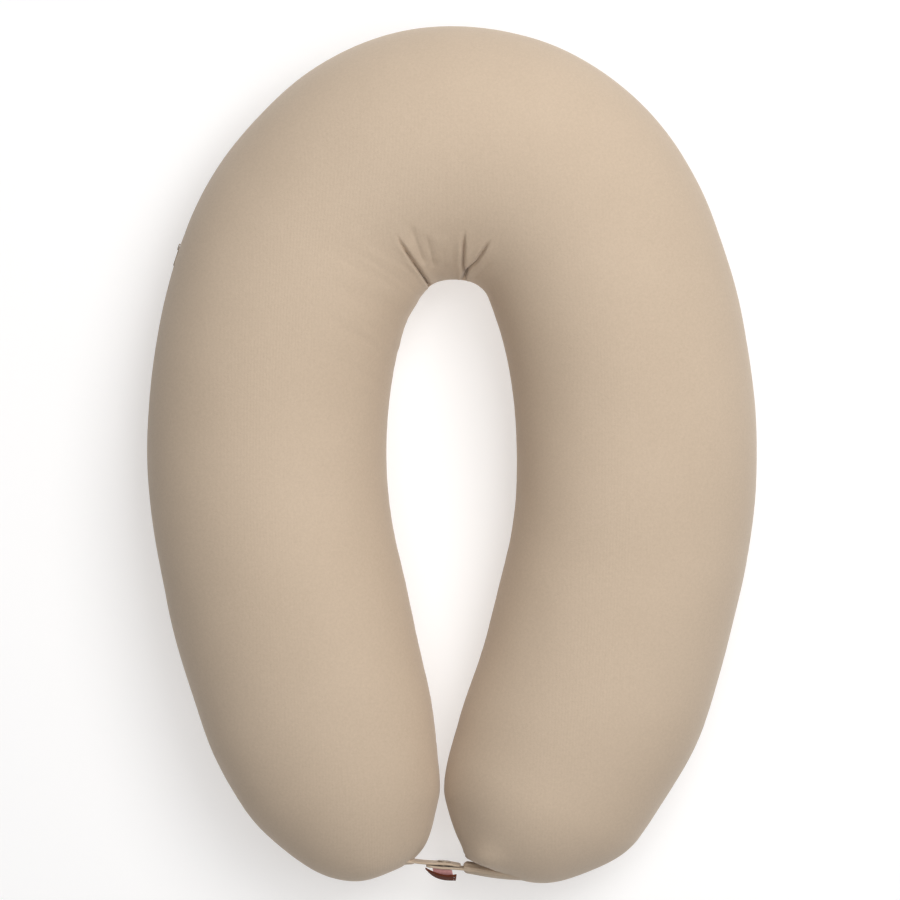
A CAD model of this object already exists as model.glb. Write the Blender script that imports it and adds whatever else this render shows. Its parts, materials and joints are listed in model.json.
import json
import math

import bmesh
import bpy
import numpy as np
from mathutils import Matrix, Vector


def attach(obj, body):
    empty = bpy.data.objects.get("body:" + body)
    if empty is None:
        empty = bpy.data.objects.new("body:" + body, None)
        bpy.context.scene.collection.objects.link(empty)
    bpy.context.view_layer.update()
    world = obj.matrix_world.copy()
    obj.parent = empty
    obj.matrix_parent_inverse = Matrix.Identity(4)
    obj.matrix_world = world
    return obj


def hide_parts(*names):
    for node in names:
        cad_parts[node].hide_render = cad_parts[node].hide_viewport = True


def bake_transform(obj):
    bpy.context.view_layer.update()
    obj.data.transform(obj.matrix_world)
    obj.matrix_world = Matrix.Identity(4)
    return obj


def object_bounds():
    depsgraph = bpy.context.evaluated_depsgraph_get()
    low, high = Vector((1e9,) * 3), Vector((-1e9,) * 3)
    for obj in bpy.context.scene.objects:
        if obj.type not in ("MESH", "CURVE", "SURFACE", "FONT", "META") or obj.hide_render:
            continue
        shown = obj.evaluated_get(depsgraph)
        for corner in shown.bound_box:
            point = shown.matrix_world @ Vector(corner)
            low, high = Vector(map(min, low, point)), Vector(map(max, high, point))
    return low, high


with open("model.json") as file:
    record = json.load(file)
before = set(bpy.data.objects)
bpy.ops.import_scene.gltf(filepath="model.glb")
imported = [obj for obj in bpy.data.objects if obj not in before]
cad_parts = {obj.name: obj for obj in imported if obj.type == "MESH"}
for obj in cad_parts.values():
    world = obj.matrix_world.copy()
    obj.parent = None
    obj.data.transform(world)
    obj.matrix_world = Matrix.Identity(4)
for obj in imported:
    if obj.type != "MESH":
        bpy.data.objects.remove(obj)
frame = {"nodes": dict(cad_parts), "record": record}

# A horseshoe nursing pillow on a pale floor, seen from straight above. Lengths here are in
# millimetres until they go into a mesh, and the frame is the CAD model's.
MM = 0.001
CAD_LOW, CAD_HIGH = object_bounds()

# ---- the tube's plan: the CAD model's tangent arcs, with turns in degrees from the crown ----
# The crown's arc and the arm's, with the turn where each ends.
CROWN_R, CROWN_TURN = 143.0, 68.8
ARM_R, ARM_END = 487.0, 103.9
# Half the tube's width at the crown and along the arms, and its height as a share of its width.
CROWN_W, ARM_W = 114.0, 108.0
HEIGHT_SHARE = 0.84
SEAM_Z = 84.0
# Each arm's last arc: radius, sweep, half the width at its end, and the rounded tip's length.
LOWER = {"left": (1686.0, 6.1, 93.2, 127.8), "right": (952.0, 12.2, 95.5, 92.3)}
CROWN_Y = CAD_HIGH.y / MM - CROWN_R - CROWN_W
# The zips run between these turns, the cover's that far inside the tube, on an arc of that radius.
ZIP_TURNS = (71.5, 101.5)
ZIP_SINK = 4.0
ZIP_R = ARM_R + ARM_W - ZIP_SINK
# Half the height of the opening that a panel leaves for its zip.
SLOT = 5.3
# The strap's middle, and the cosine and sine of its slope.
STRAP_AT = (-6.8, CROWN_Y - 497.2)
STRAP_COS, STRAP_SIN = (f(math.radians(-5.0)) for f in (math.cos, math.sin))
# The sign of x on each side.
SIGN = {"left": -1.0, "right": 1.0}


def outward(turn):
    """Away from the arc's centre at that turn, on the right half."""
    t = np.radians(turn)
    return np.stack([np.sin(t), np.cos(t)], -1)


def onward(turn):
    """Along the arc at that turn, away from the crown."""
    t = np.radians(turn)
    return np.stack([np.cos(t), -np.sin(t)], -1)


CROWN_C = np.array([0.0, CROWN_Y])
ARM_C = CROWN_C + outward(CROWN_TURN) * (CROWN_R - ARM_R)


def smooth(a, b, x):
    """From 0 at a to 1 at b, level at both."""
    t = np.clip((x - a) / (b - a), 0, 1)
    return t * t * (3 - 2 * t)


def bell(x, reach):
    """1 at x = 0, falling to a third at that reach."""
    return np.exp(-((x / reach) ** 2))


def turned(x, y, degrees):
    """Along and across a line of that slope."""
    a = math.radians(degrees)
    return x * math.cos(a) + y * math.sin(a), y * math.cos(a) - x * math.sin(a)


def hash_noise(ix, iy, iz, seed):
    """A fixed number from -1 to 1 for each whole-number place."""
    h = ix * 374761393 + iy * 668265263 + iz * 2147483647 + seed * 1274126177
    h = (h ^ (h >> 13)) * 1274126177
    h = h ^ (h >> 16)
    return (h & 0xFFFF) / 32767.5 - 1.0


def noise3(x, y, z, seed):
    """Smooth value noise from -1 to 1, a unit apart."""
    ix, iy, iz = (np.floor(a).astype(np.int64) for a in (x, y, z))
    fx, fy, fz = x - ix, y - iy, z - iz
    fx, fy, fz = (f * f * f * (f * (f * 6 - 15) + 10) for f in (fx, fy, fz))
    total = 0.0
    for dx, dy, dz in np.ndindex(2, 2, 2):
        share = (fx if dx else 1 - fx) * (fy if dy else 1 - fy) * (fz if dz else 1 - fz)
        total = total + share * hash_noise(ix + dx, iy + dy, iz + dz, seed)
    return total


# ---- columns of the tube's grid ----
# A column holds its centre, outward and onward (x and y of each), half its width on the outer and
# inner side, half its height, lead and turn.
HALF_HEIGHT, TURN, COLUMN_SIZE = 8, 10, 11
# A tip's rounded edge in tip lengths. Its inner side gets squarer by that power, over that share.
TIP_ROUND = 1.25
TIP_SQUARE, TIP_SQUARE_BY = 0.36, 0.35


def column(side, centre, turn, half_out, half_in, lead=0.0):
    """lead is how far the normals lean onward. turn is negative on the left."""
    sign = SIGN[side]
    out, on = outward(turn), onward(turn)
    return [
        centre[0] * sign, centre[1], out[0] * sign, out[1], on[0] * sign, on[1],
        half_out, half_in, half_out * HEIGHT_SHARE, lead, turn * sign,
    ]


def crown_stations(step_crown, step_arm):
    """Columns from the left arm's end round the crown to the right's, those steps apart in mm."""
    columns = []
    arm_turns = np.arange(ARM_END, CROWN_TURN, -math.degrees(step_arm / ARM_R))
    count = int(CROWN_R * math.radians(CROWN_TURN) / step_crown)
    half = np.concatenate([arm_turns, np.linspace(CROWN_TURN, 0, count)])
    for side, turns in (("left", half), ("right", half[-2::-1])):
        for turn in turns:
            if turn > CROWN_TURN:
                centre, width = ARM_C + outward(turn) * ARM_R, ARM_W
            else:
                wider = (CROWN_W - ARM_W) * (1 + math.cos(math.pi * turn / CROWN_TURN)) / 2
                centre, width = CROWN_C + outward(turn) * CROWN_R, ARM_W + wider
            columns.append(column(side, centre, turn, width, width))
    return np.array(columns)


def tip_stations(side, step):
    """Columns from an arm's end to the point of its tip, a step apart in mm."""
    radius, sweep, tip_w, tip_l = LOWER[side]
    centre_0 = ARM_C + outward(ARM_END) * (ARM_R - radius)
    columns = []
    for k in np.linspace(0, 1, int(radius * math.radians(sweep) / step)):
        turn = ARM_END + sweep * k
        width = ARM_W + (tip_w - ARM_W) * k * k
        centre = centre_0 + outward(turn) * radius
        columns.append(column(side, centre, turn, width, width))
    # The rounded end is part of an ellipse that takes over the arm's taper.
    turn = ARM_END + sweep
    taper = 2 * (ARM_W - tip_w) / (radius * math.radians(sweep))
    first = math.atan(taper * tip_l / tip_w)
    wide = tip_w / math.cos(first)
    start = centre_0 + outward(turn) * radius
    middle = start - onward(turn) * tip_l * math.sin(first)
    for k in np.linspace(0, 1, int(TIP_ROUND * tip_l / step))[1:]:
        angle = first + (math.pi / 2 - first) * k
        narrowed = wide * math.cos(angle)
        squared = wide * math.cos(angle) ** (1 - TIP_SQUARE * smooth(0, TIP_SQUARE_BY, k))
        centre = middle + onward(turn) * tip_l * math.sin(angle)
        columns.append(column(side, centre, turn, narrowed, squared, math.sin(angle) / tip_l))
    return np.array(columns)


# Angles in degrees next to a seam, and where the tube's finer inner side starts.
NEAR_SEAM = np.array([0, 0.35, 0.8, 1.3, 1.9, 2.7, 3.8, 5.2])
INNER_SIDE = 112


def panel_angles(fine, coarse):
    """Angles round the tube from the outer seam to the inner one, close together near the seams."""
    middle = np.arange(NEAR_SEAM[-1] + coarse, INNER_SIDE, coarse)
    inner = np.arange(INNER_SIDE, 180 - NEAR_SEAM[-1], fine)
    return np.radians(np.concatenate([NEAR_SEAM, middle, inner, 180 - NEAR_SEAM[::-1]]))


# ---- what the stuffing and the sewing do to the smooth tube ----
# Creases at the crown's inner edge: (turn, angle) points in degrees, depth, width, shoulder.
CREASES = [
    (((-36.2, 122), (-37.4, 129), (-38.4, 144), (-38.9, 158), (-39.2, 170), (-39.5, 186)),
     7.0, 0.95, 0.9),
    (((9.2, 128), (10.1, 136), (11.1, 142.6), (13.1, 152), (18.5, 163), (20.3, 172), (20.6, 184)),
     6.5, 1.05, 0.8),
    (((29.2, 129), (28.7, 134), (28.1, 141), (26.5, 149.7), (21.8, 156), (20.4, 164), (20.6, 182)),
     7.0, 1.0, 0.7),
    (((-25.6, 121), (-27.0, 129), (-28.8, 140), (-30.5, 151)), 1.5, 3.0, 0.5),
    (((-18.7, 129), (-19.6, 137), (-20.4, 146), (-21.8, 156)), 1.2, 2.6, 0.5),
    (((-8.0, 138), (-8.5, 148), (-9.5, 160)), 0.35, 2.6, 0.1),
    (((1.5, 140), (1.0, 148), (0.0, 160)), 0.3, 2.6, 0.1),
    (((40.0, 140), (37.5, 152), (34.0, 168)), 0.8, 3.2, 0.3),
]


# Millimetres to a radian round the tube, and rough ones that share out a crease's length.
GIRTH = 98.0
ROUGH_ALONG, ROUGH_ROUND = 50, 100
CREASES_WITHIN = 75
# The shares of a crease over which it deepens and fades, its sharpness, and its shoulder's place
# and width in crease widths.
CREASE_RISE, CREASE_FADE, CREASE_POWER = (0, 0.25), (0.80, 0.97), 1.3
SHOULDER_AT, SHOULDER_WIDTH = 3.6, 3.0
# Hidden layers give way further than the cover: more mm deep, times and mm wider, and sooner.
UNDER_DEPTH, UNDER_TIMES, UNDER_MORE, UNDER_RISE = 1.5, 2.6, 1, (0, 0.15)


def crease_field(turn, angle, radius, points):
    """Distance in mm across a crease, and the share of its length, for every grid point."""
    best = np.full(turn.shape, 1e9)
    along = np.zeros(turn.shape)
    pieces = list(zip(points[:-1], points[1:]))
    lengths = [math.hypot(math.radians(t1 - t0) * ROUGH_ALONG, math.radians(a1 - a0) * ROUGH_ROUND)
               for (t0, a0), (t1, a1) in pieces]
    passed = 0.0
    for ((t0, a0), (t1, a1)), length in zip(pieces, lengths):
        px, py = np.radians(turn - t0) * radius, np.radians(angle - a0) * GIRTH
        qx, qy = np.radians(t1 - t0) * radius, np.radians(a1 - a0) * GIRTH
        k = np.clip((px * qx + py * qy) / (qx * qx + qy * qy), 0, 1)
        away = np.hypot(px - k * qx, py - k * qy)
        closer = away < best
        best = np.where(closer, away, best)
        along = np.where(closer, (passed + k * length) / sum(lengths), along)
        passed += length
    return best, along


def creases(turn, angle, radius, hidden):
    """turn and angle are in degrees, and angle runs on past 180 on the lower panel."""
    moved = np.zeros(turn.shape)
    for points, depth, width, shoulder in CREASES:
        away, k = crease_field(turn, angle, radius, points)
        if hidden:
            reach = UNDER_TIMES * width + UNDER_MORE
            moved -= (depth + UNDER_DEPTH) * smooth(*UNDER_RISE, k) * bell(away, reach)
            continue
        strength = smooth(*CREASE_RISE, k) * (1 - smooth(*CREASE_FADE, k))
        moved -= depth * strength * np.exp(-((away / width) ** CREASE_POWER))
        moved += shoulder * strength * bell(away - SHOULDER_AT * width, SHOULDER_WIDTH * width)
    return moved


# Drag lines: slope in degrees; sizes along, across and upright, noise seed and weight; places, as
# (x, y), reach in x and y, and height; and the angles past the inner seam where they fade.
STREAK_SLOPE = -33
STREAK_LINES = (((46.0, 8.5, 60.0), 5, 1.0), ((30.0, 4.6, 50.0), 6, 0.5))
STREAK_PLACES = (((-62, 138), (46, 52), 0.62), ((-66, 92), (22, 30), 0.5))
STREAK_FADE = (195, 175)


def streaks(x, y, z, angle):
    """Shallow drag lines that run down towards the inner edge of the left shoulder."""
    p, q = turned(x, y, STREAK_SLOPE)
    lines = sum(weight * noise3(p / along, q / across, z / upright, seed)
                for (along, across, upright), seed, weight in STREAK_LINES)
    place = sum(height * bell(x - x0, reach_x) * bell(y - y0, reach_y)
                for (x0, y0), (reach_x, reach_y), height in STREAK_PLACES)
    return lines * place * smooth(*STREAK_FADE, angle)


# Where the stuffing fills the cover out, or leaves it slack: (x, y), reach and height.
BULGES = [
    ((-176.0, 300.0), 84.0, -5.0), ((-27.0, 144.0), 17.0, 5.0),
    ((-262.0, -112.0), 62.0, -3.3), ((-217.0, -272.0), 46.0, 3.2), ((-62.0, -378.0), 24.0, 5.0),
    ((-18.0, -222.0), 44.0, 2.4), ((-15.0, -326.0), 33.0, -4.6),
    ((34.0, -70.0), 62.0, -2.8), ((30.0, -165.0), 58.0, -4.0), ((6.0, -262.0), 42.0, -2.6),
    ((4.0, -326.0), 24.0, -1.8), ((218.0, -262.0), 52.0, 4.2), ((128.0, -388.0), 46.0, -7.5),
    ((27.0, -366.0), 17.0, 13.5), ((-150.0, -360.0), 42.0, -4.0),
]


# Slow unevenness: its size in mm, the noise's seed, and its height.
SWELLS = ((120.0, 1, 1.1), (48.0, 2, 0.35))
# A seam's dip, and its puckers: depth and reach, and the puckers' spacing and seed.
SEAM_DEPTH, SEAM_REACH = 1.5, 2.4
PUCKER_DEPTH, PUCKER_REACH, PUCKER_SPACING, PUCKER_SEED = 0.45, 7.0, 5.0, 8
# Degrees past a zip's ends between which its opening closes, and the hidden layers rise again.
SLOT_FADE = (0.3, 1.4)
PRESSED_FADE = (1.5, 1.9)


def swell(x, y, z):
    """Slow unevenness of a hand-stuffed tube."""
    total = sum(height * noise3(x / size, y / size, z / size, seed)
                for size, seed, height in SWELLS)
    for (x0, y0), reach, height in BULGES:
        total = total + height * np.exp(-((x - x0) ** 2 + (y - y0) ** 2) / reach**2)
    return total


def seam_pull(arc_from_seam, along):
    """The seam draws the cloth in, with fine puckers."""
    row = np.zeros_like(along)
    pucker = 0.5 + 0.5 * noise3(along / PUCKER_SPACING, row + 3.3, row, PUCKER_SEED)
    dip = SEAM_DEPTH * bell(arc_from_seam, SEAM_REACH)
    return -dip - PUCKER_DEPTH * pucker * bell(arc_from_seam, PUCKER_REACH)


def along_zip(turn, fade):
    """1 along a zip, fading to 0 between those degrees past its ends."""
    near, far = fade
    opens = smooth(ZIP_TURNS[0] - far, ZIP_TURNS[0] - near, turn)
    return opens * (1 - smooth(ZIP_TURNS[1] + near, ZIP_TURNS[1] + far, turn))


def zip_share(turn, side):
    """1 along the zip on that side's arm, and 0 past its ends. A layer with no zip has no side."""
    if side is None:
        return np.zeros(np.shape(turn))
    return along_zip(turn * SIGN[side], SLOT_FADE)


# Folds that run from the strap's two ends over the tips: (x, y) from the strap's middle at the
# sewn end, direction in degrees, length, depth, width.
TIP_FOLDS = [
    ((23.5, 2.6), -8.3, 28.0, 8.5, 2.1), ((14.0, -5.0), -15.0, 52.0, 2.6, 2.8),
    ((16.0, 5.0), 24.0, 34.0, 1.3, 2.6), ((14.0, -1.5), -22.0, 60.0, -1.2, 2.6),
    ((-30.0, 1.5), 170.0, 26.0, 2.2, 2.0), ((-31.0, -3.0), 192.0, 36.0, 1.4, 2.6),
    ((-30.0, 5.0), 148.0, 30.0, 1.2, 2.4),
]


# A fold's rise in mm, the share of its length from which it fades, and its height in widths.
FOLD_RISE, FOLD_FADE, FOLD_TALL = 4, 0.35, 7.0
# Hidden layers fold that many times deeper, wider and longer.
UNDER_FOLD = (1.15, 3.2, 1.3)


def gathers(x, y, z, hidden):
    """The folds at the tips, wider in hidden layers."""
    moved = np.zeros(x.shape)
    for (x0, y0), heading, length, depth, width in TIP_FOLDS:
        start = 0
        if hidden:
            deeper, wider, longer = UNDER_FOLD
            depth, width, length = max(deeper * depth, 0), wider * width, longer * length
            start = -width
        along, across = turned(x - STRAP_AT[0] - x0, y - STRAP_AT[1] - y0, heading)
        across = np.hypot(across, z / FOLD_TALL)
        share = smooth(start - FOLD_RISE, start + FOLD_RISE, along)
        share = share * (1 - smooth(FOLD_FADE * length, length, along))
        moved -= depth * share * bell(across, width)
    return moved


# Under a zip the hidden layers are pressed in: (half height, depth) steps, narrowest first.
PRESSED = {
    ("liner", "left"): ((7.6, 10.2), (14.6, 7.9)),
    ("filling", "left"): ((8.7, 11.3), (15.7, 9.0)),
    ("liner", "right"): ((16.1, 6.1),),
    ("filling", "right"): ((5.8, 11.4), (17.3, 9.9)),
}
# How far each layer's outer face lies inside the smooth tube, and above the floor.
INSET = {"cover": 0.0, "liner": 1.5, "filling": 2.6}
FLOOR_OF = {"cover": 0.0, "liner": 1.4, "filling": 2.5}
# The cover zip's groove: its depth as a share of the zip's, and half heights of lips and bottom.
GROOVE_SHARE, GROOVE = 0.97, (12.5, 6.8)
# The dip that topstitching makes in the edge beside the zip: depth and reach.
EDGE_DIP, EDGE_REACH = 0.7, 1.1
# How far hidden layers keep clear, how much more at a seam, and the reach of that.
CLEAR, CLEAR_AT_SEAM, CLEAR_REACH = 0.9, 1.6, 5.0
# Within this of the floor the cloth flattens instead of passing through.
FLOOR_EASE = 2
# Least lengths in normals and creases.
LEAST_HALF, LEAST_RADIUS = 12, 8


def recess(layer, turn, z, outer):
    """How far inside the smooth tube a layer's outer face lies. z is measured from the seam."""
    if layer == "cover":
        groove = smooth(*GROOVE, np.abs(z)) * outer
        return GROOVE_SHARE * ZIP_SINK * zip_share(turn, "left") * groove
    deep = np.full(z.shape, INSET[layer])
    along = along_zip(np.abs(turn), PRESSED_FADE)
    for side, on_side in (("left", turn < 0), ("right", turn >= 0)):
        for half, depth in PRESSED[layer, side][::-1]:
            inside = (np.abs(z) < half) & on_side & outer
            deep = np.where(inside, deep + (depth - deep) * along, deep)
    return deep


def surface(cols, phi, lower, layer, slot_side):
    """A layer's points in mm, their normals and flat coordinates, for those columns and angles."""
    cx, cy, ox, oy, nx, ny, half_out, half_in, half_h, lead, turn = (
        cols[:, None, i] for i in range(COLUMN_SIZE))
    turn = turn * np.ones_like(phi)
    slot = zip_share(turn, slot_side)
    cos, sin = np.cos(phi), np.sin(phi) * (-1 if lower else 1)
    wide = np.where(cos > 0, half_out, half_in)
    x, y, z = cx + ox * wide * cos, cy + oy * wide * cos, half_h * sin
    gx = ox * cos / np.maximum(wide, LEAST_HALF) + nx * lead
    gy = oy * cos / np.maximum(wide, LEAST_HALF) + ny * lead
    gz = sin / np.maximum(half_h, LEAST_HALF)
    size = np.sqrt(gx**2 + gy**2 + gz**2)
    gx, gy, gz = gx / size, gy / size, gz / size
    mean = (wide + half_h) / 2
    arc_outer, arc_inner = phi * mean, (np.pi - phi) * mean
    angle = np.degrees(phi)
    angle = 360 - angle if lower else angle
    radius = np.maximum(np.hypot(x - CROWN_C[0], y - CROWN_C[1]), LEAST_RADIUS)
    hidden = layer != "cover"
    moved = swell(x, y, z) - recess(layer, turn, z, cos > 0)
    moved += np.where(np.abs(turn) < CREASES_WITHIN, creases(turn, angle, radius, hidden), 0)
    moved += gathers(x, y, z, hidden)
    if hidden:
        to_seam = np.minimum(arc_outer, arc_inner)
        moved -= CLEAR + CLEAR_AT_SEAM * bell(to_seam, CLEAR_REACH) * (1 - slot)
    else:
        moved += streaks(x, y, z, angle)
        moved += seam_pull(arc_outer, y + x) * (1 - slot) + seam_pull(arc_inner, y - x)
        moved -= EDGE_DIP * bell(arc_outer - SLOT, EDGE_REACH) * slot
    x, y, z = x + gx * moved, y + gy * moved, z + gz * moved + SEAM_Z
    if lower:
        low = FLOOR_OF[layer] + FLOOR_EASE
        z = np.where(z < low, low - FLOOR_EASE + FLOOR_EASE * np.exp((z - low) / FLOOR_EASE), z)
    flat = (np.pi / 2 - phi) * mean
    return (np.stack([x, y, z], -1), np.stack([gx, gy, gz], -1),
            np.stack([cx + ox * flat, cy + oy * flat], -1))


# The grid gives way to the zip's opening up to this angle from the outer seam, in radians.
GIVES_WAY = 0.6


def tube_grid(cols, angles, lower, layer, slot_side):
    """A panel's points (columns, rows, 3) in mm, their normals and flat coordinates."""
    phi = np.broadcast_to(angles[None, :], (len(cols), len(angles)))
    # Along the zip the panel starts away from the seam plane, at the slot's edge.
    start = np.arcsin(SLOT / cols[:, None, HALF_HEIGHT] * zip_share(cols[:, None, TURN], slot_side))
    phi = np.where(phi < GIVES_WAY, start + phi * (GIVES_WAY - start) / GIVES_WAY, phi)
    return surface(cols, phi, lower, layer, slot_side)


def signed_volume(points, faces):
    """Above 0 where the faces are wound outward."""
    tri = [(f[0], f[i], f[i + 1]) for f in faces for i in range(1, len(f) - 1)]
    p, q, r = (points[np.array(tri)[:, i]] for i in range(3))
    return float(np.einsum("ij,ij->i", p, np.cross(q, r)).sum())


def new_object(name, data):
    obj = bpy.data.objects.new(name, data)
    bpy.context.scene.collection.objects.link(obj)
    return obj


def build(name, points, faces, material, uv=None, sharp=None):
    """A mesh object from points in mm. uv has a pair for each point. An edge is sharp where sharp
    gives both its ends the same number above 0."""
    points = np.asarray(points, float)
    if signed_volume(points, faces) < 0:
        faces = [f[::-1] for f in faces]
    mesh = bpy.data.meshes.new(name)
    mesh.from_pydata((points * MM).tolist(), [], faces)
    if uv is not None:
        layer = mesh.uv_layers.new(name="cloth")
        loops = np.empty(len(mesh.loops), np.int64)
        mesh.loops.foreach_get("vertex_index", loops)
        layer.data.foreach_set("uv", (uv * MM)[loops].astype(np.float32).ravel())
    mesh.polygons.foreach_set("use_smooth", [True] * len(mesh.polygons))
    if sharp is not None:
        ends = np.empty(len(mesh.edges) * 2, np.int64)
        mesh.edges.foreach_get("vertices", ends)
        ends = sharp[ends.reshape(-1, 2)]
        marks = mesh.attributes.new("sharp_edge", "BOOLEAN", "EDGE")
        marks.data.foreach_set("value", (ends[:, 0] > 0) & (ends[:, 0] == ends[:, 1]))
    mesh.update()
    mesh.materials.append(MATERIALS[material])
    return new_object(name, mesh)


def two_faced(name, outer, inner, uv, material, closed_end=False):
    """A closed piece with two faces, (columns, rows, 3) each, joined round their border. With a
    closed end the last column is one point."""
    n, m = outer.shape[:2]
    points = np.concatenate([outer.reshape(-1, 3), inner.reshape(-1, 3)])
    index = np.arange(n * m).reshape(n, m)
    if closed_end:
        index[-1, :] = index[-1, 0]
    corners = index[:-1, :-1], index[1:, :-1], index[1:, 1:], index[:-1, 1:]
    quads = np.stack(corners, -1).reshape(-1, 4)
    ring = np.concatenate([index[0, :-1], index[:-1, -1], index[-1, :0:-1], index[:0:-1, 0]])
    ring = ring[ring != np.roll(ring, 1)]
    following = np.roll(ring, -1)
    walls = np.stack([ring, following, following + n * m, ring + n * m], -1)
    faces = []
    for quad in np.concatenate([quads, quads[:, ::-1] + n * m, walls]).tolist():
        kept = [v for i, v in enumerate(quad) if v != quad[i - 1]]
        if len(kept) > 2:
            faces.append(kept)
    used = np.unique(np.concatenate([np.array(f) for f in faces]))
    number = np.zeros(len(points), np.int64)
    number[used] = np.arange(len(used))
    faces = [number[f].tolist() for f in faces]
    border = np.zeros(len(points), np.int64)
    border[ring], border[ring + n * m] = 1, 2
    both = np.concatenate([uv.reshape(-1, 2)] * 2)
    return build(name, points[used], faces, material, uv=both[used], sharp=border[used])


def shell(name, grid, wall, material, lower, closed_end):
    """A panel of cloth of that thickness, from its outer face."""
    outer, normal, uv = grid
    inner = outer - normal * wall
    if lower:
        inner[..., 2] = np.maximum(inner[..., 2], outer[..., 2].min() + wall)
    return two_faced(name, outer, inner, uv, material, closed_end)


def slab(name, middle, half, material):
    """A flat piece, such as a strap, from its middle surface and half thickness."""
    normal = np.cross(np.gradient(middle, axis=0), np.gradient(middle, axis=1))
    normal /= np.linalg.norm(normal, axis=-1, keepdims=True)
    step = normal * half[..., None]
    steps = [np.linalg.norm(np.gradient(middle, axis=i), axis=-1).cumsum(axis=i) for i in (0, 1)]
    return two_faced(name, middle + step, middle - step, np.stack(steps, -1), material)


def circle(count):
    return np.linspace(0, 2 * math.pi, count, endpoint=False)


def lofts(rings):
    """Points and faces of capped solids, each a stack of rings: (solids, rings, points, 3)."""
    count, n, m = rings.shape[:3]
    index = np.arange(count * n * m).reshape(count, n, m)
    here, there = index[:, :-1], index[:, 1:]
    sides = np.stack([here, np.roll(here, -1, 2), np.roll(there, -1, 2), there], -1).reshape(-1, 4)
    caps = np.concatenate([index[:, 0, ::-1], index[:, -1]])
    return rings.reshape(-1, 3), sides.tolist() + caps.tolist()


def stitches(name, starts, ends, up, radius, material):
    """Thread from each start to its end, arched so that both ends dip into the cloth."""
    t = np.linspace(0, 1, 7)[None, :, None, None]
    ring = circle(6)[None, None, :, None]
    starts, ends, up = (a[:, None, None, :] for a in (starts, ends, up))
    along = ends - starts
    side = np.cross(along, up)
    side = side / np.linalg.norm(side, axis=-1, keepdims=True)
    arch = np.sin(math.pi * t)
    thick = radius * (0.35 + 0.65 * arch**0.5)
    middle = starts + along * t + up * radius * (1.1 * arch - 0.8)
    points, faces = lofts(middle + (side * np.cos(ring) + up * np.sin(ring)) * thick)
    return build(name, points, faces, material)


# Edges sharper than this many degrees are rounded over, once faces within 2 of flat are merged.
FLAT, SHARP = 2, 35


def softened(node_name, width, material):
    """The CAD node's own shape with its sharp edges rounded over."""
    mesh = frame["nodes"][node_name].data.copy()
    work = bmesh.new()
    work.from_mesh(mesh)
    bmesh.ops.remove_doubles(work, verts=work.verts, dist=1e-6)
    bmesh.ops.dissolve_limit(
        work, angle_limit=math.radians(FLAT), verts=work.verts, edges=work.edges)
    sharp = [e for e in work.edges if e.is_manifold and e.calc_face_angle(0) > math.radians(SHARP)]
    bmesh.ops.bevel(work, geom=sharp, offset=width * MM, segments=3, profile=0.5,
                    affect="EDGES", clamp_overlap=True)
    bmesh.ops.triangulate(work, faces=[f for f in work.faces if len(f.verts) > 4])
    work.to_mesh(mesh)
    work.free()
    mesh.materials.clear()
    mesh.materials.append(MATERIALS[material])
    mesh.polygons.foreach_set("use_smooth", [True] * len(mesh.polygons))
    obj = new_object(f"{node_name}_soft_edged", mesh)
    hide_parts(node_name)
    return obj


# ---- materials ----
def set_inputs(node, values):
    for key, value in values.items():
        node.inputs[key].default_value = value


def new_material(name, colour, roughness, sheen=0.0, specular=0.3, metallic=0.0):
    mat = bpy.data.materials.new(name)
    mat.use_nodes = True
    shader = mat.node_tree.nodes["Principled BSDF"]
    set_inputs(shader, {
        "Base Color": (*colour, 1), "Roughness": roughness, "Sheen Weight": sheen,
        "Specular IOR Level": specular, "Metallic": metallic,
    })
    return mat, mat.node_tree, shader


def math_node(tree, operation, *values):
    made = tree.nodes.new("ShaderNodeMath")
    made.operation = operation
    for socket, value in zip(made.inputs, values):
        if isinstance(value, (int, float)):
            socket.default_value = value
        else:
            tree.links.new(value, socket)
    return made.outputs[0]


def wave(tree, value, rate):
    return math_node(tree, "SINE", math_node(tree, "MULTIPLY", value, rate))


def mixed(tree, *shares):
    """The weighted sum of (value, weight) pairs."""
    total = None
    for value, weight in shares:
        part = math_node(tree, "MULTIPLY", value, weight)
        total = part if total is None else math_node(tree, "ADD", total, part)
    return total


def noise(tree, place, scale, detail=2.0, roughness=0.5):
    made = tree.nodes.new("ShaderNodeTexNoise")
    set_inputs(made, {"Scale": scale, "Detail": detail, "Roughness": roughness})
    tree.links.new(place, made.inputs["Vector"])
    return made.outputs["Fac"]


def object_place(tree):
    return tree.nodes.new("ShaderNodeTexCoord").outputs["Object"]


def cloth_axes(tree):
    """The two coordinates of the flat cloth, in metres."""
    uv = tree.nodes.new("ShaderNodeUVMap")
    uv.uv_map = "cloth"
    split = tree.nodes.new("ShaderNodeSeparateXYZ")
    tree.links.new(uv.outputs[0], split.inputs[0])
    return split.outputs[0], split.outputs[1]


def dress(tree, shader, relief, strength, distance, tone, dark, light):
    """Bump from the relief's shares, distance in mm, and colour from dark to light over the middle
    of the range of the tone's shares."""
    bump = tree.nodes.new("ShaderNodeBump")
    set_inputs(bump, {"Strength": strength, "Distance": distance * MM})
    tree.links.new(mixed(tree, *relief), bump.inputs["Height"])
    tree.links.new(bump.outputs[0], shader.inputs["Normal"])
    ramp = tree.nodes.new("ShaderNodeValToRGB")
    for end, position, colour in zip(ramp.color_ramp.elements, (0.35, 0.65), (dark, light)):
        end.position, end.color = position, (*colour, 1)
    tree.links.new(mixed(tree, *tone), ramp.inputs[0])
    tree.links.new(ramp.outputs[0], shader.inputs["Base Color"])


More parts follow.
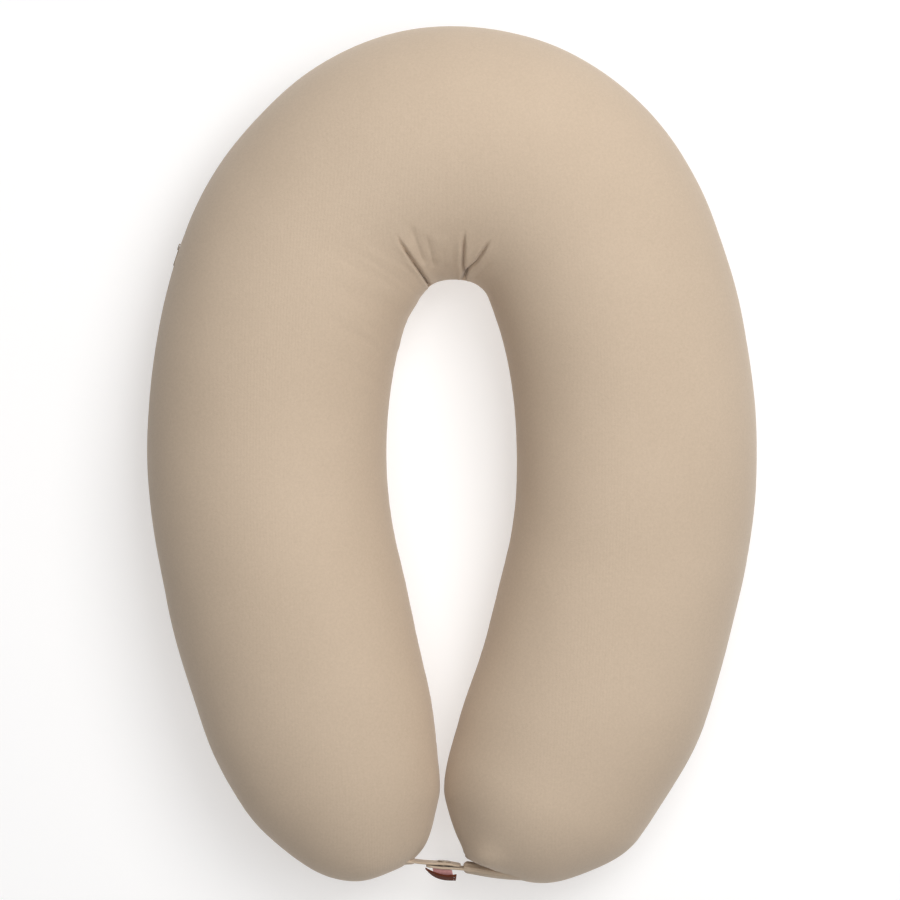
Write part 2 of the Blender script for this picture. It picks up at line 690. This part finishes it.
def knit(name, dark, light, wale=1.2, course=1.0, bump=0.28):
    """Fine jersey: V stitches of wale by course mm in the flat cloth, fuzz, and slow drift."""
    mat, tree, shader = new_material(name, light, 0.92, 0.35, 0.18)
    set_inputs(shader, {"Sheen Roughness": 0.45, "Sheen Tint": (0.95, 0.88, 0.80, 1)})
    across, along = cloth_axes(tree)
    across = math_node(tree, "FRACT", math_node(tree, "MULTIPLY", across, 1 / (wale * MM)))
    row = math_node(tree, "MULTIPLY", along, 1 / (course * MM))
    fold = math_node(tree, "ABSOLUTE", math_node(tree, "SUBTRACT", across, 0.5))
    slant = mixed(tree, (row, 1.0), (fold, 1.1))
    loop, rib = wave(tree, slant, 2 * math.pi), wave(tree, across, math.pi)
    place = object_place(tree)
    fuzz = noise(tree, place, 900.0, 3.0, 0.65)
    mottle = noise(tree, place, 420.0, 3.0, 0.6)
    drift = noise(tree, place, 7.0)
    dress(tree, shader, [(loop, 0.18), (rib, 0.5), (fuzz, 1.0), (mottle, 0.8)], bump, 0.5,
          [(mottle, 0.4), (fuzz, 0.3), (drift, 0.3)], dark, light)
    return mat


def woven(name, dark, light, pitch, bump=0.35, flat=False):
    """Plain weave, its pitch in mm, in the flat cloth's coordinates or the object's."""
    mat, tree, shader = new_material(name, light, 0.88, 0.15, 0.2)
    place = object_place(tree)
    turns = math.pi / (pitch * MM)
    if flat:
        axes = cloth_axes(tree)
    else:
        split = tree.nodes.new("ShaderNodeSeparateXYZ")
        tree.links.new(place, split.inputs[0])
        axes = (math_node(tree, "ADD", split.outputs[0], split.outputs[1]), split.outputs[2])
    weave = math_node(tree, "MULTIPLY", *(wave(tree, axis, turns) for axis in axes))
    slub = noise(tree, place, 260.0, 3.0, 0.6)
    fuzz = noise(tree, place, 1500.0)
    dress(tree, shader, [(weave, 0.6), (slub, 0.5), (fuzz, 0.4)], bump, 0.3,
          [(weave, 0.12), (slub, 0.6), (fuzz, 0.4)], dark, light)
    return mat


def grained(
        name, dark, light, roughness, scale, bump, distance, sheen=0.0, specular=0.4, metallic=0.0):
    """Moulded, enamelled or leathery stuff: two sizes of grain in its colour, gloss and relief."""
    mat, tree, shader = new_material(name, light, roughness, sheen, specular, metallic)
    place = object_place(tree)
    fine, coarse = noise(tree, place, scale, 3.0, 0.6), noise(tree, place, scale / 7, 2.0)
    dress(tree, shader, [(fine, 0.7), (coarse, 0.5)], bump, distance,
          [(fine, 0.45), (coarse, 0.55)], dark, light)
    gloss = mixed(tree, (fine, 0.25), (coarse, 0.15))
    tree.links.new(math_node(tree, "ADD", gloss, roughness - 0.2), shader.inputs["Roughness"])
    return mat


def leather(name, dark, light):
    """Pebbled grain from a cell pattern, over slow colour drift."""
    mat, tree, shader = new_material(name, light, 0.72, 0.0, 0.12)
    place = object_place(tree)
    cells = tree.nodes.new("ShaderNodeTexVoronoi")
    cells.inputs["Scale"].default_value = 1400.0
    tree.links.new(place, cells.inputs["Vector"])
    pebble = cells.outputs["Distance"]
    fine, drift = noise(tree, place, 2200.0), noise(tree, place, 130.0, 3.0)
    dress(tree, shader, [(pebble, 1.0), (fine, 0.4)], 0.5, 0.25,
          [(drift, 0.7), (pebble, 0.3), (fine, 0.15)], dark, light)
    return mat


# What grained takes after its colours: roughness, scale, bump, distance, sheen, specular, metallic.
FIBRE = (0.95, 300.0, 0.9, 1.2, 0.4, 0.1)
COIL = (0.42, 900.0, 0.25, 0.08)
STOP = (0.45, 900.0, 0.25, 0.08)
METAL = (0.34, 700.0, 0.2, 0.06, 0.0, 0.6)
SNAP = (0.3, 600.0, 0.15, 0.05, 0.0, 0.6, 0.6)
SPUN = (0.8, 2500.0, 0.4, 0.08, 0.2, 0.2)
# Each material's name, kind, dark and light colour, and what its kind takes next.
MATERIALS = {name: kind(name, dark, light, *rest) for name, kind, dark, light, *rest in (
    ("cover_jersey", knit, (0.528, 0.416, 0.309), (0.602, 0.480, 0.363)),
    ("liner_cotton", woven, (0.66, 0.63, 0.57), (0.80, 0.77, 0.71), 0.45, 0.35, True),
    ("fibre_filling", grained, (0.70, 0.70, 0.68), (0.86, 0.86, 0.84), *FIBRE),
    ("cover_zip_tape", woven, (0.33, 0.255, 0.18), (0.45, 0.36, 0.265), 0.4),
    ("cover_zip_coil", grained, (0.34, 0.26, 0.18), (0.46, 0.37, 0.27), *COIL),
    ("zip_metal", grained, (0.30, 0.225, 0.155), (0.40, 0.31, 0.22), *METAL, 0.35),
    ("zip_stop_plastic", grained, (0.34, 0.26, 0.18), (0.44, 0.35, 0.26), *STOP),
    ("liner_zip_tape", woven, (0.62, 0.60, 0.55), (0.74, 0.72, 0.67), 0.4),
    ("liner_zip_coil", grained, (0.60, 0.58, 0.53), (0.73, 0.71, 0.66), *COIL),
    ("liner_zip_metal", grained, (0.52, 0.51, 0.48), (0.62, 0.61, 0.58), *METAL, 0.5),
    ("tab_cloth", knit, (0.48, 0.376, 0.275), (0.555, 0.44, 0.33), 0.9, 0.8, 0.32),
    ("snap_metal", grained, (0.27, 0.205, 0.14), (0.36, 0.28, 0.20), *SNAP),
    ("label_leather", leather, (0.080, 0.016, 0.006), (0.145, 0.034, 0.012)),
    ("label_cloth", woven, (0.60, 0.27, 0.26), (0.76, 0.38, 0.37), 0.35, 0.4, True),
    ("thread", grained, (0.50, 0.40, 0.29), (0.62, 0.51, 0.39), *SPUN),
    ("pale_thread", grained, (0.70, 0.66, 0.60), (0.86, 0.83, 0.78), *SPUN),
)}

# ---- cover, liner and filling ----
CROWN_COLS = crown_stations(1.8, 4.2)
TIP_COLS = {side: tip_stations(side, 2.2) for side in SIGN}
COARSE_CROWN = crown_stations(4.5, 7.0)
COARSE_TIPS = {side: tip_stations(side, 5.0) for side in SIGN}
ANGLES = panel_angles(1.0, 2.4)
COARSE_ANGLES = panel_angles(2.6, 4.5)
# The cloths' thickness.
COVER, LINER = 1.2, 0.5
# The crown piece bends over this stretch of x in metres, either side of the crown's joint.
ZIP_SIDE = {"cover": "left", "liner": "right", "filling": None}


def padded_piece(piece, body=None):
    """Rides on a body, or bends across the crown's joint where none is named."""
    if body:
        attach(piece, body)
    else:
        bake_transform(piece)


def panel(layer, word, wall, crown_cols, tip_cols, angles, slot):
    """The upper or lower panel of the cover or liner: a crown piece and a tip on each half."""
    label, lower, zipped = f"{layer}_{word}", word == "bottom", ZIP_SIDE[layer]
    grid = tube_grid(crown_cols, angles, lower, layer, zipped)
    crown = shell(f"{label}_crown", grid, wall, slot, lower, False)
    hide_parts(f"{label}_left", f"{label}_right")
    padded_piece(crown)
    for side in SIGN:
        grid = tube_grid(tip_cols[side], angles, lower, layer, zipped)
        tip = shell(f"{label}_{side}_tip", grid, wall, slot, lower, True)
        padded_piece(tip, f"{side}_half")


def filling(name, cols, body=None):
    """A stuffed length of fibre, closed at both ends."""
    upper, lower = (
        tube_grid(cols, COARSE_ANGLES, low, "filling", None)[0] for low in (False, True))
    rings = np.concatenate([upper, lower[:, -2:0:-1]], 1)
    piece = build(name, *lofts(rings[None]), "fibre_filling")
    if not body:
        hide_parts("filling_left", "filling_right")
    padded_piece(piece, body)


for word in ("top", "bottom"):
    panel("cover", word, COVER, CROWN_COLS, TIP_COLS, ANGLES, "cover_jersey")
    panel("liner", word, LINER, COARSE_CROWN, COARSE_TIPS, COARSE_ANGLES, "liner_cotton")
filling("filling_crown", COARSE_CROWN)
for side in SIGN:
    filling(f"filling_{side}_tip", COARSE_TIPS[side][:-1], f"{side}_half")


# ---- the cover's zip ----
def on_zip(turn, out, height):
    """Points on the left arm's zip: degrees along it, mm out from its plane, mm above the seam."""
    turn, out, height = np.broadcast_arrays(turn, out, height)
    flat = ARM_C + outward(turn) * (ZIP_R + out)[..., None]
    return np.stack([-flat[..., 0], flat[..., 1], SEAM_Z + height], -1)


def arc_degrees(length):
    return math.degrees(length / ZIP_R)


TOOTH_PITCH = 1.5
# The coil's cord: out from the zip's plane, away from the seam, and half its sizes.
CORD_OUT, CORD_AWAY, CORD_HALF = -0.85, 2.9, (0.62, 0.42)
# The stitches beside the cord: out, away from the seam, and the thread's radius.
SEWN_OUT, SEWN_AWAY, SEWN_THREAD = 0.34, 2.75, 0.16
# The topstitching: away from the seam, thread's radius, stitch, spacing, degrees past the zip.
TOP_AWAY, TOP_THREAD, TOP_STITCH, TOP_PITCH, TOP_PAST = 7.4, 0.24, 2.9, 3.8, 0.3
# One coil loop from its sewn root to its head: (height from the seam, distance out, half size).
TOOTH = np.array([
    (3.40, -0.80, 0.22), (3.30, -0.50, 0.40), (2.70, -0.12, 0.44), (2.00, -0.06, 0.44),
    (1.40, -0.06, 0.46), (1.00, -0.12, 0.50), (0.78, -0.25, 0.42), (0.66, -0.40, 0.20),
])


def zip_chain(name, up):
    """Loops of nylon coil over the cord that they are sewn to."""
    pitch = arc_degrees(TOOTH_PITCH)
    turns = np.arange(ZIP_TURNS[0] + pitch, ZIP_TURNS[1] - pitch, pitch)
    turns = turns + (pitch / 2 if up < 0 else 0)
    height, out, size = (TOOTH[None, :, None, i] for i in range(3))
    ring = circle(8)[None, None, :]
    along = turns[:, None, None] + arc_degrees(1.0) * size * np.cos(ring)
    teeth, tooth_faces = lofts(on_zip(along, out + size * np.sin(ring), height * up))
    run = np.linspace(ZIP_TURNS[0], ZIP_TURNS[1], 220)[None, :, None]
    cord_out = CORD_OUT + CORD_HALF[0] * np.sin(ring)
    cord_away = CORD_AWAY + CORD_HALF[1] * np.cos(ring)
    cord, cord_faces = lofts(on_zip(run, cord_out, cord_away * up))
    # Loops and cord are wound the same way, so that build can turn them outward together.
    if signed_volume(teeth, tooth_faces) * signed_volume(cord, cord_faces) < 0:
        cord_faces = [f[::-1] for f in cord_faces]
    faces = tooth_faces + [[v + len(teeth) for v in f] for f in cord_faces]
    piece = build(name, np.concatenate([teeth, cord]), faces, "cover_zip_coil")
    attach(piece, "left_half")
    return piece


def zip_thread(name, up):
    """The row of stitches that holds a coil to its tape."""
    pitch = arc_degrees(2 * TOOTH_PITCH)
    turns = np.arange(ZIP_TURNS[0] + pitch, ZIP_TURNS[1] - 2 * pitch, pitch)
    starts = on_zip(turns, SEWN_OUT, SEWN_AWAY * up)
    ends = on_zip(turns + 0.8 * pitch, SEWN_OUT, SEWN_AWAY * up)
    out = np.concatenate([outward(turns) * (-1, 1), np.zeros((len(turns), 1))], 1)
    piece = stitches(name, starts, ends, out, SEWN_THREAD, "thread")
    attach(piece, "left_half")


def cover_points(turns, away, up):
    """Points and normals on the cover at those turns on the left, that far from the seam."""
    cols = np.stack([np.interp(-turns, CROWN_COLS[:, TURN], CROWN_COLS[:, i])
                     for i in range(COLUMN_SIZE)], 1)
    phi = np.arcsin(away / cols[:, HALF_HEIGHT])[:, None]
    points, normals, _ = surface(cols, phi, up < 0, "cover", "left")
    return points[:, 0], normals[:, 0]


def topstitching(name, up):
    """A row of stitches along the zip's edge of a cover panel."""
    turns = np.arange(ZIP_TURNS[0] - TOP_PAST, ZIP_TURNS[1] + TOP_PAST, arc_degrees(TOP_PITCH))
    starts, normals = cover_points(turns, TOP_AWAY, up)
    ends, _ = cover_points(turns + arc_degrees(TOP_STITCH), TOP_AWAY, up)
    piece = stitches(name, starts, ends, normals, TOP_THREAD, "thread")
    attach(piece, "left_half")


for word, up in (("upper", 1), ("lower", -1)):
    chain = zip_chain(f"zip_coil_{word}", up)
    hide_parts(f"zip_chain_{word}")
    zip_thread(f"zip_coil_{word}_thread", up)
    topstitching(f"zip_topstitch_{word}", up)

for name, width, body, slot in (
    ("zip_slider", 0.3, "cover_slider", "zip_metal"),
    ("zip_pull", 0.3, "cover_pull", "zip_metal"),
    ("zip_top_stops", 0.35, "left_half", "zip_stop_plastic"),
    ("zip_bottom_stop", 0.35, "left_half", "zip_stop_plastic"),
):
    piece = softened(name, width, slot)
    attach(piece, body)

# ---- tabs, in the strap's frame: u along it, w towards the crown ----
# A tab's distance from the strap's plane, half its thickness and height, its corners and hem.
TAB_MIDDLE, TAB_HALF, TAB_TALL, TAB_CORNER, TAB_HEM = 1.9, 1.0, 11.0, 5.0, 2.3
# Away from the snap the tabs close up by that much, within that reach.
TAB_CLOSER, TAB_CLOSER_REACH = 0.68, 8.5
# The hem's stitches: spacing, length, row, distance out, thread. Its pinch: depth and reach.
HEM_PITCH, HEM_STITCH, HEM_ROW, HEM_OUT, HEM_THREAD = 3.2, 2.3, 40.0, 0.80, 0.2
PINCH, PINCH_REACH = 0.26, 0.6
# Each tab's root, free end, and side of the strap's plane.
TABS = {"left": (-56.0, 15.0, 1), "right": (66.0, -16.0, -1)}
# The right tab peels at this line, and bends within that reach of it.
PEEL_U, PEEL_REACH = 22.0, 3.0


def in_strap(u, w, height):
    """A point in the strap's frame; its height is measured from the seam."""
    x = STRAP_AT[0] + u * STRAP_COS - w * STRAP_SIN
    y = STRAP_AT[1] + u * STRAP_SIN + w * STRAP_COS
    return np.stack(np.broadcast_arrays(x, y, SEAM_Z + height), -1)


def tab_middle(side, u):
    """The two tabs lie close together except round the snap at u 0, and wave a little."""
    apart = TAB_MIDDLE - TAB_CLOSER * (1 - bell(u, TAB_CLOSER_REACH))
    return TABS[side][2] * apart + 0.16 * np.sin(u / 6.1 + 0.7) + 0.08 * np.sin(u / 2.7)


def rounded_rim(half, rim, least):
    """Half a piece's thickness at that distance from its rim, never less than a small share."""
    return half * np.sqrt(np.maximum(1 - (1 - np.clip(rim / half, 0, 1)) ** 2, least))


def tab_half(rim, u):
    """Half the strap's thickness: a rounded rim, pinched along the hem's stitches."""
    pinch = PINCH * bell(rim - TAB_HEM, PINCH_REACH)
    pinch = pinch * (0.7 + 0.3 * np.cos(2 * math.pi * u / HEM_PITCH))
    return rounded_rim(TAB_HALF, rim, 0.003) - pinch


def tab(side, name):
    """A tab from its root to its free end, which has round corners."""
    root, end, _ = TABS[side]
    k = np.linspace(0, 1, 90)
    u = (root + (end - root) * (1 - (1 - k) ** 1.5))[:, None]
    corner = TAB_CORNER - np.minimum(np.abs(end - u), TAB_CORNER)
    tall = TAB_TALL - TAB_CORNER + np.sqrt(np.maximum(TAB_CORNER**2 - corner**2, 0))
    v = tall * np.sin(np.linspace(-math.pi / 2, math.pi / 2, 40))[None, :]
    u = u * np.ones_like(v)
    rim = np.minimum(tall - np.abs(v), np.abs(end - u) + 0.02)
    middle = in_strap(u, tab_middle(side, u), v)
    return slab(name, middle, tab_half(rim, u), "tab_cloth")


def tab_stitches(side, name):
    """The hem's stitches on both faces of a tab, along its two edges and across its free end."""
    root, end, _ = TABS[side]
    back = -1 if end > root else 1
    edge = TAB_TALL - TAB_HEM
    starts, ends = [], []
    for face in (1, -1):
        for v in (edge, -edge):
            for u in end + back * (TAB_CORNER + np.arange(0, HEM_ROW, HEM_PITCH)):
                starts.append((u, face, v))
                ends.append((u + back * HEM_STITCH, face, v))
        for v in np.arange(-4.8, 4.9, HEM_PITCH):
            starts.append((end + back * TAB_HEM, face, v - 1.1))
            ends.append((end + back * TAB_HEM, face, v + 1.1))

    def place(rows):
        u, face, v = np.array(rows).T
        return in_strap(u, tab_middle(side, u) + face * HEM_OUT, v)

    up = np.array(starts)[:, 1:2] * np.array([[-STRAP_SIN, STRAP_COS, 0.0]])
    return stitches(name, place(starts), place(ends), up, HEM_THREAD, "thread")


def peel(piece):
    """Follows the right half up to the tab's peel line and the tab beyond it."""
    near, far = (
        in_strap(np.array(PEEL_U + d), -TAB_MIDDLE, 0.0) * MM for d in (PEEL_REACH, -PEEL_REACH))
    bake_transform(piece)


left_tab = tab("left", "end_strap_left")
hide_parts("end_tab_left")
right_tab = tab("right", "end_strap_right")
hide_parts("end_tab_right", "end_tab_right_root")
left_thread = tab_stitches("left", "end_strap_left_stitches")
right_thread = tab_stitches("right", "end_strap_right_stitches")
for piece in (left_tab, left_thread):
    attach(piece, "left_half")
for piece in (right_tab, right_thread):
    peel(piece)

# ---- where the cover's cloth is gathered onto a strap ----
# From the open end into the tip: (u, w, half across, half height).
NECKS = {
    "left": (
        (-26.0, 1.3, 2.5, 11.9), (-32.0, 1.6, 3.6, 12.8), (-40.0, 2.6, 6.0, 15.0),
        (-52.0, 5.0, 9.5, 20.0),
    ),
    "right": (
        (17.6, 0.1, 4.5, 11.8), (25.0, -0.5, 5.1, 12.6), (35.0, -1.0, 5.7, 14.5),
        (54.0, -1.7, 5.6, 20.0), (74.0, 0.6, 7.4, 27.0), (94.0, 4.6, 9.6, 32.0),
    ),
}
# A neck's pleats and their depth, the fine ones between them, and how fast they fade along it.
PLEATS, PLEAT_DEPTH = 9, 0.13
FINE_PLEATS, FINE_DEPTH = 17, 0.05
PLEAT_FADE = 3.2
# The mouth rounds over within this many mm, to those shares of its width and height.
MOUTH, MOUTH_ACROSS, MOUTH_TALL = 4.0, 0.25, 0.85


def neck(side, name):
    """A short puckered sleeve with a rounded mouth, its pleats fading as it widens into the tip."""
    table = np.array(NECKS[side])
    k = np.linspace(0, 1, 70)[:, None]
    u = table[0, 0] + (table[-1, 0] - table[0, 0]) * k**1.3
    w, across, tall = (np.polyval(np.polyfit(table[:, 0], table[:, i], 3), u) for i in (1, 2, 3))
    mouth = np.sqrt(1 - (1 - np.clip(np.abs(u - u[0]) / MOUTH, 0.02, 1)) ** 2)
    ring = circle(72)[None, :]
    fade = np.exp(-PLEAT_FADE * k)
    pleat = 1 + PLEAT_DEPTH * fade * np.cos(PLEATS * ring + 1.4 * np.sin(5 * k))
    pleat = pleat + FINE_DEPTH * fade * np.cos(FINE_PLEATS * ring + 2.0)
    flat = np.stack([u + 0 * ring, tall * ring], -1)
    across = across * (MOUTH_ACROSS + (1 - MOUTH_ACROSS) * mouth) * pleat
    tall = tall * (MOUTH_TALL + (1 - MOUTH_TALL) * mouth) * (0.6 + 0.4 * pleat)
    rings = in_strap(u, w + across * np.cos(ring), tall * np.sin(ring))
    return build(name, *lofts(rings[None]), "cover_jersey", uv=flat.reshape(-1, 2))


left_neck = neck("left", "cover_gather_left")
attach(left_neck, "left_half")
right_neck = neck("right", "cover_gather_right")
peel(right_neck)

# ---- label: a leather leaf that leans out, hung from a ribbon behind the stud ----
# The limits of each along the strap, half the leaf's height, the ribbon's length, and half their
# thicknesses.
LEAF_SPAN, LEAF_TALL, LEAF_HALF = (-16.4, 12.0), 7.0, 0.75
RIBBON_SPAN, RIBBON_DROP, RIBBON_HALF = (-10.0, 7.5), 9.0, 0.5
# Along the leaf: (u, w of the top edge, w of the foot).
LEAF = np.array([(-16.4, -3.7, -4.7), (-13.0, -4.6, -8.2), (-9.0, -6.2, -10.8),
                 (-3.0, -8.2, -13.2), (5.0, -8.0, -13.9), (12.0, -6.6, -13.4)])


def leaf_middle(u, v):
    """The leather leaf's middle surface, v from its foot to its top edge."""
    top, foot = (np.polyval(np.polyfit(LEAF[:, 0], LEAF[:, i], 3), u) for i in (1, 2))
    fall = (LEAF_TALL - v) / (2 * LEAF_TALL)
    return in_strap(u, top + (foot - top) * fall**0.85, v)


def ribbon_middle(u, v):
    """The ribbon slopes from the tab's face down to the leaf, v from its top to its end."""
    share = v / RIBBON_DROP
    return in_strap(u + 2.0 * share, -3.0 - 6.6 * share**0.9, 6.4 - 5.8 * share**1.5)


def dense_ends(start, end, count):
    """Stations that crowd together at both ends."""
    return start + (end - start) * (0.5 - 0.5 * np.cos(np.linspace(0, math.pi, count)))


def patch(name, across, along, counts, middle, half, material):
    """A thin piece with a rounded rim, between those limits of u and of v."""
    u, v = np.meshgrid(
        dense_ends(*across, counts[0]), dense_ends(*along, counts[1]), indexing="ij")
    rim_u = np.minimum(u - across[0], across[1] - u)
    rim_v = np.minimum(v - along[0], along[1] - v)
    thick = rounded_rim(half, np.minimum(rim_u, rim_v) + 0.02, 0.004)
    return slab(name, middle(u, v), thick, material)


# Tacks through the leaf: (u, v) of each one's middle, half its length and its thread's radius.
TACKS = np.array([(10.0, 3.6), (10.0, -3.2), (-14.2, 2.6), (-14.2, -2.6)])
TACK_HALF, TACK_THREAD = 0.8, 0.32


def tacks(name):
    """Short stitches on the leaf's outer face."""
    face = np.array([[STRAP_SIN, -STRAP_COS, 0.4]]) / math.hypot(1.0, 0.4)
    face = face * np.ones((len(TACKS), 1))
    u, v = TACKS.T
    starts, ends = (leaf_middle(u, v + d) + face * (LEAF_HALF + 0.05)
                    for d in (-TACK_HALF, TACK_HALF))
    return stitches(name, starts, ends, face, TACK_THREAD, "pale_thread")


leaf = patch("label_leaf", LEAF_SPAN, (-LEAF_TALL, LEAF_TALL), (60, 34),
             leaf_middle, LEAF_HALF, "label_leather")
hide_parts("label_flap")
ribbon = patch("label_ribbon", RIBBON_SPAN, (0, RIBBON_DROP), (40, 26),
               ribbon_middle, RIBBON_HALF, "label_cloth")
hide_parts("label_backing")
label_thread = tacks("label_tacks")
for piece, slot in (
        (leaf, "label_leather"), (ribbon, "label_cloth"), (label_thread, "label_cloth")):
    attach(piece, "peel_tab")

# ---- every CAD node that still shows gets its slot's material ----
for part in frame["record"]["subparts"]:
    mesh = frame["nodes"][part["node"]].data
    mesh.materials.clear()
    mesh.materials.append(MATERIALS[part["material_slot"]])

# ---- floor, light and camera, in metres ----
FLOOR_REACH = 30
# Under the pillow, so that they don't share a plane.
FLOOR_DROP = 0.0008
floor_mesh = bpy.data.meshes.new("floor")
corners = [(x * FLOOR_REACH, y * FLOOR_REACH, 0) for x, y in ((-1, -1), (1, -1), (1, 1), (-1, 1))]
floor_mesh.from_pydata(corners, [], [(0, 1, 2, 3)])
floor = new_object("floor", floor_mesh)
floor.location.z = -FLOOR_DROP
floor_mat, _, floor_shader = new_material("floor", (0.60, 0.60, 0.60), 0.85, specular=0.0)
set_inputs(floor_shader, {"Emission Color": (1.0, 0.985, 0.98, 1), "Emission Strength": 0.45})
floor_mesh.materials.append(floor_mat)

world = bpy.data.worlds.new("studio")
bpy.context.scene.world = world
world.use_nodes = True
set_inputs(world.node_tree.nodes["Background"], {"Color": (1.0, 1.0, 1.0, 1), "Strength": 0.04})

# Each light's place and watts. All are soft disks turned to the middle of the pillow.
LIGHTS = {
    "key": ((0.8, 1.0, 2.4), 36),
    "overhead": ((0, 0, 2.6), 20),
    "from_right": ((1.3, 0, 2.2), 8),
    "low_behind_crown": ((0.3, 2.2, 0.9), 13),
    "from_tips": ((0, -1.5, 2.2), 9),
}
LIGHT_SIZE = 1.5
LIT_PLACE = Vector((0, 0, 0.05))
for name, (place, power) in LIGHTS.items():
    light = bpy.data.lights.new(name, "AREA")
    light.shape = "DISK"
    light.size = LIGHT_SIZE
    light.energy = power
    lamp = new_object(name, light)
    lamp.location = place
    lamp.rotation_euler = (LIT_PLACE - Vector(place)).to_track_quat("-Z", "Y").to_euler()

# Millimetres to a pixel at the seam's height. The camera looks straight down from that height
# above the seam, that far aside and short of the pillow's far edge.
PLAN_SCALE, IMAGE_WIDTH = 0.9, 900
CAMERA_HEIGHT = 3.2
ASIDE, BEFORE_EDGE = -0.00135, 0.3807
SENSOR = 36.0
camera_data = bpy.data.cameras.new("camera")
camera = new_object("camera", camera_data)
bpy.context.scene.camera = camera
camera_data.sensor_width = SENSOR
camera_data.lens = SENSOR * CAMERA_HEIGHT / (PLAN_SCALE * IMAGE_WIDTH * MM)
camera_data.clip_end = 20
camera.location = (ASIDE, CAD_HIGH.y - BEFORE_EDGE, SEAM_Z * MM + CAMERA_HEIGHT)
bpy.context.scene.view_settings.view_transform = "Standard"
